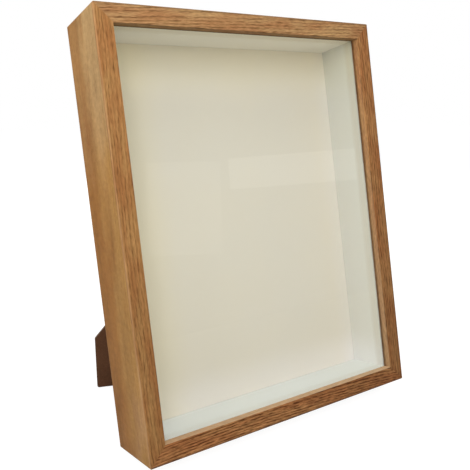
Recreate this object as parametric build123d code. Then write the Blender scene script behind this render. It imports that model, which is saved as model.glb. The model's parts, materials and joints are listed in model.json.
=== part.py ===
"""Fishing lure display case: a deep oak box frame that leans back on an easel strut.

The case is drawn upright, in millimetres: X to the right, Y from the front face to the back,
Z up, with the front face at Y = 0 and the bottom at Z = 0. At the end every piece is leaned
back, so that the case stands on its lower rear edge and on the foot of the strut.
"""
from build123d import *
from math import atan, atan2, cos, degrees, radians, sin, tan
import os

# Case
case_width = 235.0
case_height = 298.0
case_depth = 52.0
wall = 9.0                       # sides of the box, behind the lip
lip_width = 12.6                 # face of the frame, seen from the front
lip_depth = 7.5                  # from the front face to the glass
outer_round = 0.8                # long outer edges of the frame
lip_round = 0.5                  # front edge of the lip
corner_round = 1.5               # outer corners of the case

# What the case holds
glass_thickness = 2.0
glass_gap = 0.5                  # glass to wall, each side
spacer_thickness = 3.2
board_thickness = 4.0
board_gap = 0.3                  # display board to wall, each side
panel_thickness = 3.0
panel_gap = 0.4                  # back panel to wall, each side

# V nails, driven across each mitre from behind
nail_gauge = 0.6
nail_leg = 3.6
nail_height = 10.0
nail_spread = 50.0               # from the mitre line to each leg, in degrees
nail_first = 4.2                 # from the outer corner, along the mitre line
nail_pitch = 4.2
nails_per_corner = 2

# Turn buttons and their screws
button_length = 20.0
button_width = 8.0
button_gauge = 1.0
button_edge_round = 0.3
button_lift = 0.1                # under the button
button_play = 0.1                # between the button and the screw's head
stile_button_spacing = 120.0     # between the two buttons of a stile
rail_button_shift = 45.0         # from the middle of a rail to its button
screw_radius = 1.6
screw_length = 12.0              # below the head
screw_tip_length = 2.4
screw_point_radius = 0.3
screw_head_radius = 3.1
screw_head_height = 1.7
screw_head_round = 1.0
recess_width = 0.8               # cross recess of the head
recess_span = 3.4
recess_depth = 0.9
running_gap = 0.08               # a hole around the pin, screw or wire that turns in it

# Strut
strut_open = 30.0                # from the panel to the open strut, in degrees
strut_reach = 185.2              # from the hinge pin to the corner of the foot
strut_half_width = 30.4
strut_thickness = 2.5
strut_lift = 0.3                 # between the panel and the folded strut
strut_top_gap = 0.5              # between the knuckles and the strut's top end
strut_top_round = 4.0
foot_inset = 3.8                 # from the side of the case to the folded foot
foot_round = 2.0
foot_side_round = 1.0

# Strut hinge
leaf_gauge = 0.8
leaf_width = 40.0                # along the pin
leaf_corner_round = 2.5
panel_leaf_length = 19.0         # from the pin
strut_leaf_length = 24.0
knuckle_width = 15.4             # the middle knuckle, which is the strut leaf's
knuckle_gap = 0.2                # between neighbouring knuckles
leaf_notch_gap = 0.4             # between a leaf and the other leaf's knuckle
pin_radius = 0.9
pin_head_radius = 1.5
pin_head_height = 0.6
pin_end_play = 0.1
heel_length = 7.5                # stop on the strut leaf, from the pin
heel_gap = 0.1                   # between the heel and the panel leaf
leaf_rivet_inset = 7.0           # from a leaf's end
leaf_rivet_spacing = 25.0

# Rivets
rivet_radius = 1.5
rivet_head_radius = 2.7
rivet_head_height = 0.8

# Ring hangers
hanger_inset = 30.0              # from the panel's edge to the ring's bar
ring_wire_radius = 0.9
ring_half_width = 10.5
ring_reach = 16.0                # from the bar to the tip
ring_corner_round = 2.5
ring_tip_round = 3.0
ring_standing = 90.0             # ring whose bar runs up the leaning panel, in degrees from it
strap_gauge = 0.6                # the strap is folded double
strap_width = 10.0
strap_length = 14.0              # from the ring's bar
strap_corner_round = 2.0
strap_rivet_place = 8.5          # from the ring's bar

# Places that follow from the sizes
cavity_width = case_width - 2 * wall
cavity_height = case_height - 2 * wall
glass_back = lip_depth + glass_thickness
panel_front = case_depth - panel_thickness
board_front = panel_front - board_thickness
middle = case_height / 2
left_side, right_side = -case_width / 2, case_width / 2

panel_width = cavity_width - 2 * panel_gap
panel_height = cavity_height - 2 * panel_gap

# The pin lies midway between the panel and the back of the strut leaf when the strut is folded.
barrel_radius = (strut_lift + strut_thickness + leaf_gauge) / 2
pin_bore = pin_radius + running_gap
pin_depth = case_depth + barrel_radius
strut_front = strut_lift - barrel_radius           # from the pin, outwards from the panel
strut_back = strut_front + strut_thickness

# The folded strut lies along the panel's diagonal. Its foot is cut square to the case, and
# this lean is the one at which the open strut's foot lies flat on the floor.
strut_angle = degrees(atan2(panel_height, panel_width))
case_lean = degrees(atan(sin(radians(strut_angle)) * tan(radians(strut_open / 2))))
lean_sin, lean_cos = sin(radians(case_lean)), cos(radians(case_lean))
open_sin, open_cos = sin(radians(strut_open)), cos(radians(strut_open))
axis_sin, axis_cos = sin(radians(strut_angle)), cos(radians(strut_angle))

# The leaning case touches the floor on its rounded lower rear edge.
case_lift = (case_depth - outer_round) * lean_sin + outer_round * (1 - lean_cos)
# Height of the folded foot that brings the front edge of the open foot down to the floor.
foot_rise = (pin_depth + strut_front * open_cos) * lean_sin / lean_cos
foot_rise -= case_lift / lean_cos + strut_front * open_sin * axis_sin
foot_x = left_side + foot_inset
hinge_x = foot_x + strut_reach * axis_cos
hinge_z = foot_rise + strut_reach * axis_sin

# Frames. A side frame has X along that side and Z from the side's outer face inwards.
side_frames = {
    "bottom": Location((0, 0, 0)),
    "right": Location((right_side, 0, middle), (0, -90, 0)),
    "top": Location((0, 0, case_height), (0, 180, 0)),
    "left": Location((left_side, 0, middle), (0, 90, 0)),
}
side_lengths = {"bottom": case_width, "right": case_height, "top": case_width, "left": case_height}
# In the hinge's frame X runs down the folded strut, Y along the pin and Z out from the panel.
hinge_frame = Plane((hinge_x, pin_depth, hinge_z), (-axis_cos, 0, -axis_sin), (0, 1, 0)).location
swing_open = Rot(0, -strut_open, 0)
# In a hanger's frame X runs down the strap, Y along the ring's bar and Z out from the panel.
hanger_frames = {
    "portrait": Plane(
        (0, case_depth, case_height - wall - hanger_inset), (0, 0, -1), (0, 1, 0)
    ).location,
    "landscape": Plane(
        (right_side - wall - hanger_inset, case_depth, middle), (-1, 0, 0), (0, 1, 0)
    ).location,
}
# Each ring's angle from the panel, where its own weight brings it.
ring_angles = {"portrait": case_lean, "landscape": ring_standing}

# Each turn button's side, and its place along that side's frame.
button_places = {
    "turn_button_left_upper": ("left", -stile_button_spacing / 2),
    "turn_button_left_lower": ("left", stile_button_spacing / 2),
    "turn_button_right_upper": ("right", stile_button_spacing / 2),
    "turn_button_right_lower": ("right", -stile_button_spacing / 2),
    "turn_button_top": ("top", rail_button_shift),
    "turn_button_bottom": ("bottom", rail_button_shift),
}


def slab(sketch, front, thickness):
    """A sketch drawn in X and Z, made solid from the depth `front` backwards."""
    return extrude(Plane.XZ.offset(-front) * sketch, amount=-thickness)


def plate(sketch, bottom, thickness):
    """A sketch drawn in X and Y, made solid from the height `bottom` upwards."""
    return extrude(Pos(0, 0, bottom) * sketch, amount=thickness)


def barrel(radius, start, end):
    """A cylinder around the Y axis from `start` to `end`."""
    return extrude(Plane.XZ.offset(-start) * Circle(radius), amount=start - end)


def rounded_tab(length, width, corner):
    """A rectangle from X = 0 to `length`, with its two far corners rounded."""
    edge = width / 2
    points = [(0, -edge), (length, -edge), (length, edge), (0, edge)]
    return make_face(FilletPolyline(*points, radius=[0, corner, corner, 0], close=True))


def rivet(grip):
    """A rivet whose domed head sits on Z = 0, with its shank reaching `grip` below."""
    dome = (rivet_head_radius**2 + rivet_head_height**2) / (2 * rivet_head_height)
    head = Cylinder(rivet_head_radius, rivet_head_height, align=(Align.CENTER, Align.CENTER, Align.MIN))
    head &= Pos(0, 0, rivet_head_height - dome) * Sphere(dome)
    return head + Cylinder(rivet_radius, grip, align=(Align.CENTER, Align.CENTER, Align.MAX))


def screw():
    """A cross-recessed pan head screw whose head sits on Z = 0."""
    below = (Align.CENTER, Align.CENTER, Align.MAX)
    head = Cylinder(screw_head_radius, screw_head_height, align=(Align.CENTER, Align.CENTER, Align.MIN))
    head = fillet(head.edges().sort_by(Axis.Z)[-1], screw_head_round)
    for span, width in ((recess_span, recess_width), (recess_width, recess_span)):
        head -= Pos(0, 0, screw_head_height) * Box(span, width, recess_depth, align=below)
    straight = screw_length - screw_tip_length
    shank = Cylinder(screw_radius, straight, align=below)
    tip = Cone(screw_point_radius, screw_radius, screw_tip_length, align=below)
    return head + shank + Pos(0, 0, -straight) * tip


def frame_member(length):
    """One side of the frame: a wall with a lip in front, mitred at both ends."""
    corners = [
        (0, 0),
        (case_depth, 0),
        (case_depth, wall),
        (lip_depth, wall),
        (lip_depth, lip_width),
        (0, lip_width),
    ]
    rounds = [outer_round, outer_round, 0, 0, 0, lip_round]
    profile = make_face(FilletPolyline(*corners, radius=rounds, close=True))
    bar = extrude(Plane.YZ * profile, amount=length / 2, both=True)
    mitre = [
        (-length / 2, 0),
        (length / 2, 0),
        (length / 2 - lip_width, lip_width),
        (lip_width - length / 2, lip_width),
    ]
    return bar & slab(Polygon(*mitre, align=None), 0, case_depth)


def v_nails():
    """The V nails of all four mitres, with their tops level with the back of the frame."""
    leg = Box(nail_leg, nail_height, nail_gauge, align=(Align.MIN, Align.MAX, Align.CENTER))
    nail = Rot(0, nail_spread, 0) * leg + Rot(0, -nail_spread, 0) * leg
    corners = [(left_side, 0), (right_side, 0), (right_side, case_height), (left_side, case_height)]
    nails = []
    for turn, (x, z) in enumerate(corners):
        corner = Location((x, case_depth, z), (0, -45 - 90 * turn, 0))
        for count in range(nails_per_corner):
            nails.append(corner * Pos(nail_first + nail_pitch * count, 0, 0) * nail)
    return nails


def turn_button_screws():
    """One screw for each turn button, in the middle of the wall."""
    seat = case_depth + button_lift + button_gauge + button_play
    facing_back = Location((0, seat, wall / 2), (-90, 0, 0))
    return [
        side_frames[side] * Pos(along, 0, 0) * facing_back * screw()
        for side, along in button_places.values()
    ]


def turn_button(side, along):
    """A flat steel button that reaches from its screw inwards over the back panel."""
    reach = (button_length - button_width) / 2
    outline = Pos(0, wall / 2 + reach) * SlotOverall(button_length, button_width, rotation=90)
    outline -= Pos(0, wall / 2) * Circle(screw_radius + running_gap)
    button = slab(outline, case_depth + button_lift, button_gauge)
    rim = button.faces().sort_by(Axis.Y)[-1].outer_wire().edges()
    return side_frames[side] * Pos(along, 0, 0) * fillet(rim, button_edge_round)


def spacer(side):
    """A strip against one wall, from the glass back to the display board."""
    length = side_lengths[side] - 2 * wall
    if side in ("left", "right"):
        length -= 2 * spacer_thickness
    depth = board_front - glass_back
    strip = Box(length, depth, spacer_thickness, align=(Align.CENTER, Align.MIN, Align.MIN))
    return side_frames[side] * Pos(0, glass_back, wall) * strip


def sheet(gap, front, thickness):
    """A rectangular sheet that fills the box except for `gap` at each wall."""
    outline = Pos(0, middle) * Rectangle(cavity_width - 2 * gap, cavity_height - 2 * gap)
    return slab(outline, front, thickness)


def strut_board():
    """The folded strut in the hinge's frame, with its foot cut square to the case."""
    top = barrel_radius + strut_top_gap
    outline = [
        (top, strut_half_width),
        (strut_reach - strut_half_width * axis_sin / axis_cos, strut_half_width),
        (strut_reach, 0),
        (strut_reach - strut_half_width * axis_cos / axis_sin, -strut_half_width),
        (top, -strut_half_width),
    ]
    rounds = [strut_top_round, foot_side_round, foot_round, foot_side_round, strut_top_round]
    face = make_face(FilletPolyline(*outline, radius=rounds, close=True))
    return plate(face, strut_front, strut_thickness)


def knuckle(start, end):
    """A knuckle around the pin, from `start` to `end` along it."""
    return barrel(barrel_radius, start, end) - barrel(pin_bore, start, end)


def hinge_panel_leaf():
    """The leaf riveted to the panel, with the two outer knuckles."""
    notch = Rectangle(
        2 * (barrel_radius + leaf_notch_gap),
        knuckle_width + 2 * knuckle_gap,
    )
    outline = Rot(0, 0, 180) * rounded_tab(panel_leaf_length, leaf_width, leaf_corner_round)
    leaf = plate(outline - notch, -barrel_radius, leaf_gauge)
    inner, outer = knuckle_width / 2 + knuckle_gap, leaf_width / 2
    leaf += knuckle(inner, outer) + knuckle(-outer, -inner)
    return leaf - barrel(pin_bore, -outer, outer)


def hinge_strut_leaf():
    """The leaf riveted to the open strut, with the middle knuckle and the heel that stops it."""
    outline = rounded_tab(strut_leaf_length, leaf_width, leaf_corner_round)
    notch_width = (leaf_width - knuckle_width) / 2 + knuckle_gap
    notch = Rectangle(2 * (barrel_radius + leaf_notch_gap), 2 * notch_width)
    for end in (-leaf_width / 2, leaf_width / 2):
        outline -= Pos(0, end) * notch
    leaf = plate(outline, strut_back, leaf_gauge)
    leaf += knuckle(-knuckle_width / 2, knuckle_width / 2)
    heel = Rot(0, 0, 180) * rounded_tab(heel_length, knuckle_width, leaf_corner_round)
    leaf = swing_open * leaf + plate(heel, leaf_gauge + heel_gap - barrel_radius, leaf_gauge)
    return leaf - barrel(pin_bore, -leaf_width / 2, leaf_width / 2)


def hinge_pin():
    """The pin, headed over at both ends."""
    end = leaf_width / 2 + pin_end_play
    pin = barrel(pin_radius, -end, end)
    pin += barrel(pin_head_radius, end, end + pin_head_height)
    return pin + barrel(pin_head_radius, -end - pin_head_height, -end)


def leaf_rivets(place, seat, grip):
    """The two rivets of a leaf, at `place` along it, with their heads on the height `seat`."""
    return [
        Pos(place, across, seat) * rivet(grip)
        for across in (-leaf_rivet_spacing / 2, leaf_rivet_spacing / 2)
    ]


def hanger_strap():
    """A strap folded double around the ring's bar."""
    eye = ring_wire_radius + running_gap + strap_gauge
    strap = plate(rounded_tab(strap_length, strap_width, strap_corner_round), 0, 2 * strap_gauge)
    strap += Pos(0, 0, eye) * barrel(eye, -strap_width / 2, strap_width / 2)
    bore = barrel(ring_wire_radius + running_gap, -strap_width / 2, strap_width / 2)
    return strap - Pos(0, 0, eye) * bore


def hanger_ring(angle):
    """A triangular wire ring, swung out by `angle` from lying along its strap."""
    points = [(0, -ring_half_width), (ring_reach, 0), (0, ring_half_width)]
    rounds = [ring_corner_round, ring_tip_round, ring_corner_round]
    path = FilletPolyline(*points, radius=rounds, close=True)
    section = Plane(path @ 0, z_dir=path % 0) * Circle(ring_wire_radius)
    eye = ring_wire_radius + running_gap + strap_gauge
    return Pos(0, 0, eye) * Rot(0, -angle, 0) * sweep(section, path)


def build_case():
    """Every piece by name, upright and with the strut open."""
    pieces = {}
    nails = v_nails()
    screws = turn_button_screws()
    outline = Pos(0, middle) * RectangleRounded(case_width, case_height, corner_round)
    outline = slab(outline, 0, case_depth)
    member_names = {"left": "stile_left", "right": "stile_right", "top": "rail_top", "bottom": "rail_bottom"}
    for side, name in member_names.items():
        member = side_frames[side] * frame_member(side_lengths[side])
        pieces[name] = (member & outline) - nails - screws
    pieces["corner_v_nails"] = Compound(children=nails)

    pieces["glass_pane"] = sheet(glass_gap, lip_depth, glass_thickness)
    for side in side_frames:
        pieces[f"spacer_{side}"] = spacer(side)
    pieces["display_board"] = sheet(board_gap, board_front, board_thickness)

    for name, (side, along) in button_places.items():
        pieces[name] = turn_button(side, along)
    pieces["turn_button_screws"] = Compound(children=screws)

    panel_leaf_seat = leaf_gauge - barrel_radius
    panel_rivets = leaf_rivets(
        leaf_rivet_inset - panel_leaf_length, panel_leaf_seat, leaf_gauge + panel_thickness
    )
    strut_rivets = leaf_rivets(
        strut_leaf_length - leaf_rivet_inset, strut_back + leaf_gauge, leaf_gauge + strut_thickness
    )
    strut_rivets = [swing_open * one for one in strut_rivets]
    pieces["hinge_panel_leaf"] = hinge_frame * (hinge_panel_leaf() - panel_rivets)
    pieces["hinge_strut_leaf"] = hinge_frame * (hinge_strut_leaf() - strut_rivets)
    pieces["hinge_pin"] = hinge_frame * hinge_pin()
    pieces["strut"] = hinge_frame * (swing_open * strut_board() - strut_rivets)
    panel_rivets = [hinge_frame * one for one in panel_rivets]
    pieces["hinge_panel_rivets"] = Compound(children=panel_rivets)
    pieces["hinge_strut_rivets"] = Compound(children=[hinge_frame * one for one in strut_rivets])

    panel = sheet(panel_gap, panel_front, panel_thickness) - panel_rivets
    for way, frame in hanger_frames.items():
        hanger_rivet = Pos(strap_rivet_place, 0, 2 * strap_gauge) * rivet(2 * strap_gauge + panel_thickness)
        pieces[f"hanger_strap_{way}"] = frame * (hanger_strap() - hanger_rivet)
        pieces[f"hanger_ring_{way}"] = frame * hanger_ring(ring_angles[way])
        pieces[f"hanger_rivet_{way}"] = frame * hanger_rivet
        panel -= frame * hanger_rivet
    pieces["back_panel"] = panel
    return pieces


def find_stance(pieces):
    """The lean, with the origin on the floor in the middle of the leaning case's outline."""
    leaning = Pos(0, 0, case_lift) * Rot(-case_lean, 0, 0)
    boxes = [(leaning * piece).bounding_box() for piece in pieces.values()]
    front = min(box.min.Y for box in boxes)
    back = max(box.max.Y for box in boxes)
    return Pos(0, -(front + back) / 2, 0) * leaning


pieces = build_case()
stance = find_stance(pieces)
os.makedirs("parts", exist_ok=True)
for name, piece in pieces.items():
    export_step(stance * piece, f"parts/{name}.step")
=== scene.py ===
"""The looks of a fishing lure display case: an oak box frame with a glass front, on an easel strut.

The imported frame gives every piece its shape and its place, and this file gives each surface its
finish. The small fasteners that repeat are made again here, finer than the solids that stand for
them. All lengths are in metres. Upright coordinates are those of the case before it leans back:
X to the right, Y from the front face to the back, Z up from the bottom.
"""
import bmesh
import bpy
import json
import logging
import math
from dataclasses import dataclass, field
from enum import Enum, IntEnum
from mathutils import Matrix, Quaternion, Vector


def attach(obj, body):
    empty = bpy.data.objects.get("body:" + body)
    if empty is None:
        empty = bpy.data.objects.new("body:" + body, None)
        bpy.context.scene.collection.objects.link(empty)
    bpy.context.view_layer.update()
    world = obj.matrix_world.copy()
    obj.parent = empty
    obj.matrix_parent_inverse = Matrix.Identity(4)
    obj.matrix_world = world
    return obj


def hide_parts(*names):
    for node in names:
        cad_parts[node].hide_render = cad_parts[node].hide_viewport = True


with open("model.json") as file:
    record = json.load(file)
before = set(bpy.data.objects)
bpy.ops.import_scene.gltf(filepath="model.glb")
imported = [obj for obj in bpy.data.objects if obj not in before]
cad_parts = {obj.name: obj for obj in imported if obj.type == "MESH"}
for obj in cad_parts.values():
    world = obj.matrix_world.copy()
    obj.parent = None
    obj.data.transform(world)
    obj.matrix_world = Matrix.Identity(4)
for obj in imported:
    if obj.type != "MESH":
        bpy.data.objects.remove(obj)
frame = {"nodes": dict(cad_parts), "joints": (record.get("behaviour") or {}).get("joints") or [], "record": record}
log = logging.getLogger("display_case")

Pair = tuple[float, float]
Sizes = tuple[float, float, float]
Colour = tuple[float, float, float]
Socket = bpy.types.NodeSocket
Paint = Socket | Colour              # a colour, or a socket that carries one

WELD = 1e-6                          # corners that are closer than this are one corner
WHITE: Colour = (1.0, 1.0, 1.0)


# ---------------------------------------------------------------- node trees


class Field:
    """A number that varies over a surface or a mesh: a socket that takes part in arithmetic."""

    def __init__(self, tree: "Tree", socket: Socket) -> None:
        """Hold a socket of a tree.

        Args:
            tree: The tree that the socket belongs to.
            socket: An output socket that carries a number.
        """
        self.tree = tree
        self.socket = socket

    def __add__(self, other: "Field | float") -> "Field":
        """The sum."""
        return self.tree.math("ADD", self, other)

    def __radd__(self, other: float) -> "Field":
        """The sum."""
        return self.tree.math("ADD", other, self)

    def __sub__(self, other: "Field | float") -> "Field":
        """The difference."""
        return self.tree.math("SUBTRACT", self, other)

    def __rsub__(self, other: float) -> "Field":
        """The difference."""
        return self.tree.math("SUBTRACT", other, self)

    def __mul__(self, other: "Field | float") -> "Field":
        """The product."""
        return self.tree.math("MULTIPLY", self, other)

    def __truediv__(self, other: "Field | float") -> "Field":
        """The quotient."""
        return self.tree.math("DIVIDE", self, other)

    def size(self) -> "Field":
        """The number without its sign."""
        return self.tree.math("ABSOLUTE", self)

    def between(self, least: float, most: float) -> "Field":
        """`least` where the number is 0, `most` where it is 1, and evenly between them."""
        return least + self * (most - least)

    def rise(self, start: float, end: float) -> "Field":
        """A smooth step.

        Args:
            start: The number at which the step gives 0.
            end: The number at which it gives 1.

        Returns:
            A number from 0 to 1.
        """
        low, high = (0.0, 1.0) if start < end else (1.0, 0.0)
        step = self.tree.node(
            "ShaderNodeMapRange",
            {
                "Value": self,
                "From Min": min(start, end),
                "From Max": max(start, end),
                "To Min": low,
                "To Max": high,
            },
            interpolation_type="SMOOTHSTEP",
        )
        return Field(self.tree, step.outputs["Result"])


class Tree:
    """Adds nodes to one node tree and links them."""

    def __init__(self, tree: bpy.types.NodeTree) -> None:
        """Start an empty tree.

        Args:
            tree: The tree to fill.
        """
        self.tree = tree
        tree.nodes.clear()

    def node(
        self, kind: str, inputs: dict[str | int, object] | None = None, **settings: object
    ) -> bpy.types.Node:
        """Add a node.

        Args:
            kind: The node's type name.
            inputs: A value, socket or Field for each input, by the input's name or number.
            **settings: The node's own settings.

        Returns:
            The node.
        """
        made = self.tree.nodes.new(kind)
        for name, value in settings.items():
            setattr(made, name, value)
        for key, value in (inputs or {}).items():
            self.feed(made.inputs[key], value)
        return made

    def feed(self, socket: Socket, value: object) -> None:
        """Link a socket or Field to an input, or write a plain value on it.

        Args:
            socket: The input.
            value: What it gets.
        """
        source = value.socket if isinstance(value, Field) else value
        if isinstance(source, Socket):
            self.tree.links.new(source, socket)
        elif socket.type == "RGBA":
            socket.default_value = (*source, 1.0)
        else:
            socket.default_value = source

    def math(self, operation: str, *values: "Field | float") -> Field:
        """Work out one number from others.

        Args:
            operation: The Math node's operation.
            *values: The numbers.

        Returns:
            The result.
        """
        made = self.node("ShaderNodeMath", dict(enumerate(values)), operation=operation)
        return Field(self, made.outputs[0])

    def distance(self, x: Field, y: Field) -> Field:
        """How far a spot is from the origin of two of its coordinates."""
        return self.math("SQRT", x * x + y * y)

    def joined(self, x: Field | float, y: Field | float, z: Field | float) -> Socket:
        """A vector made of three numbers."""
        return self.node("ShaderNodeCombineXYZ", {"X": x, "Y": y, "Z": z}).outputs[0]

    def split(self, vector: Socket) -> list[Field]:
        """The three numbers of a vector."""
        return [Field(self, out) for out in self.node("ShaderNodeSeparateXYZ", {0: vector}).outputs]


@dataclass(frozen=True)
class Lumps:
    """The make-up of a soft noise.

    Args:
        sizes: The size of its lumps along each axis.
        seed: Its number among the noises of its material, so that no two are alike.
        detail: How many finer octaves it has.
    """

    sizes: Sizes
    seed: float = 0.0
    detail: float = 0.0


class Surface(Tree):
    """The node tree of a material around one Principled shader."""

    seed_steps: Sizes = (7.31, -3.17, 5.03)       # how far each seed moves a noise
    finer: float = 0.55              # how strong each octave of a noise is beside the one before
    middle: float = 0.5              # the mean of a noise, as the texture gives it

    def __init__(self, name: str, seed: float = 0.0) -> None:
        """Start a material.

        Args:
            name: The material's name.
            seed: Another number gives it other noises.
        """
        self.seed = seed
        self.material = bpy.data.materials.new(name)
        self.material.use_nodes = True
        super().__init__(self.material.node_tree)
        self.shader = self.node("ShaderNodeBsdfPrincipled")
        self.output = self.node("ShaderNodeOutputMaterial", {"Surface": self.shader.outputs[0]})
        self.where = self.node("ShaderNodeTexCoord")

    def placed(self, place: Matrix) -> Socket:
        """A piece's own coordinates.

        Args:
            place: Where the piece's origin and axes are, in the frame.

        Returns:
            The vector from the piece's origin, along its own axes, in metres.
        """
        spot = self.where.outputs["Object"]
        mapping = self.node("ShaderNodeMapping", {"Vector": spot}, vector_type="TEXTURE")
        mapping.inputs["Location"].default_value = place.to_translation()
        mapping.inputs["Rotation"].default_value = place.to_euler("XYZ")
        return mapping.outputs[0]

    def noise(self, vector: Socket, lumps: Lumps) -> Field:
        """Soft noise around 0.

        Args:
            vector: Where the noise is read, in metres.
            lumps: Its make-up.

        Returns:
            A number from about -0.5 to 0.5.
        """
        shifted = [(self.seed + lumps.seed) * step for step in self.seed_steps]
        scaled = self.node(
            "ShaderNodeMapping",
            {"Vector": vector, "Location": shifted, "Scale": [1 / size for size in lumps.sizes]},
        )
        octaves = {"Scale": 1.0, "Detail": lumps.detail, "Roughness": self.finer}
        made = self.node("ShaderNodeTexNoise", {"Vector": scaled.outputs[0], **octaves})
        return Field(self, made.outputs[0]) - self.middle

    def ramp(self, value: Field, stops: tuple[Pair, ...]) -> Field:
        """A number that follows another by a table.

        Args:
            value: The number to look up, from 0 to 1.
            stops: A number and its result, for each place in the table, in order.

        Returns:
            The result, in straight runs between the stops.
        """
        made = self.node("ShaderNodeValToRGB", {"Fac": value})
        elements = made.color_ramp.elements
        while len(elements) < len(stops):
            elements.new(0.5)        # its place is set below
        for element, (place, result) in zip(elements, stops):
            element.position = place
            element.color = (result, result, result, 1.0)
        return Field(self, made.outputs["Color"])

    def mixed(self, share: Field | float, first: Paint, second: Paint, blend: str = "MIX") -> Socket:
        """A mix of two colours.

        Args:
            share: How much of the second colour is mixed in.
            first: The first colour.
            second: The second colour.
            blend: How the two are mixed.

        Returns:
            The mixed colour.
        """
        made = self.node("ShaderNodeMix", data_type="RGBA", blend_type=blend, clamp_factor=True)
        inputs = [socket for socket in made.inputs if socket.enabled]
        for socket, value in zip(inputs, (share, first, second)):
            self.feed(socket, value)
        return next(socket for socket in made.outputs if socket.enabled)

    def shaded(self, colour: Socket, amount: Field) -> Socket:
        """A colour times a number."""
        grey = self.joined(amount, amount, amount)
        return self.mixed(1.0, colour, grey, "MULTIPLY")

    def relief(self, height: Field, depth: float, strength: float) -> None:
        """Give the surface a relief.

        Args:
            height: The relief, from 0 to 1.
            depth: How deep it is at 1.
            strength: How much of it shows.
        """
        bump = self.node("ShaderNodeBump", {"Height": height, "Distance": depth, "Strength": strength})
        self.feed(self.shader.inputs["Normal"], bump.outputs[0])

    def finish(self, **values: object) -> bpy.types.Material:
        """Set the shader's inputs.

        Args:
            **values: A value, socket or Field for each input, with _ for the blanks of its name.

        Returns:
            The material.
        """
        for name, value in values.items():
            self.feed(self.shader.inputs[name.replace("_", " ")], value)
        return self.material


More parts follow.
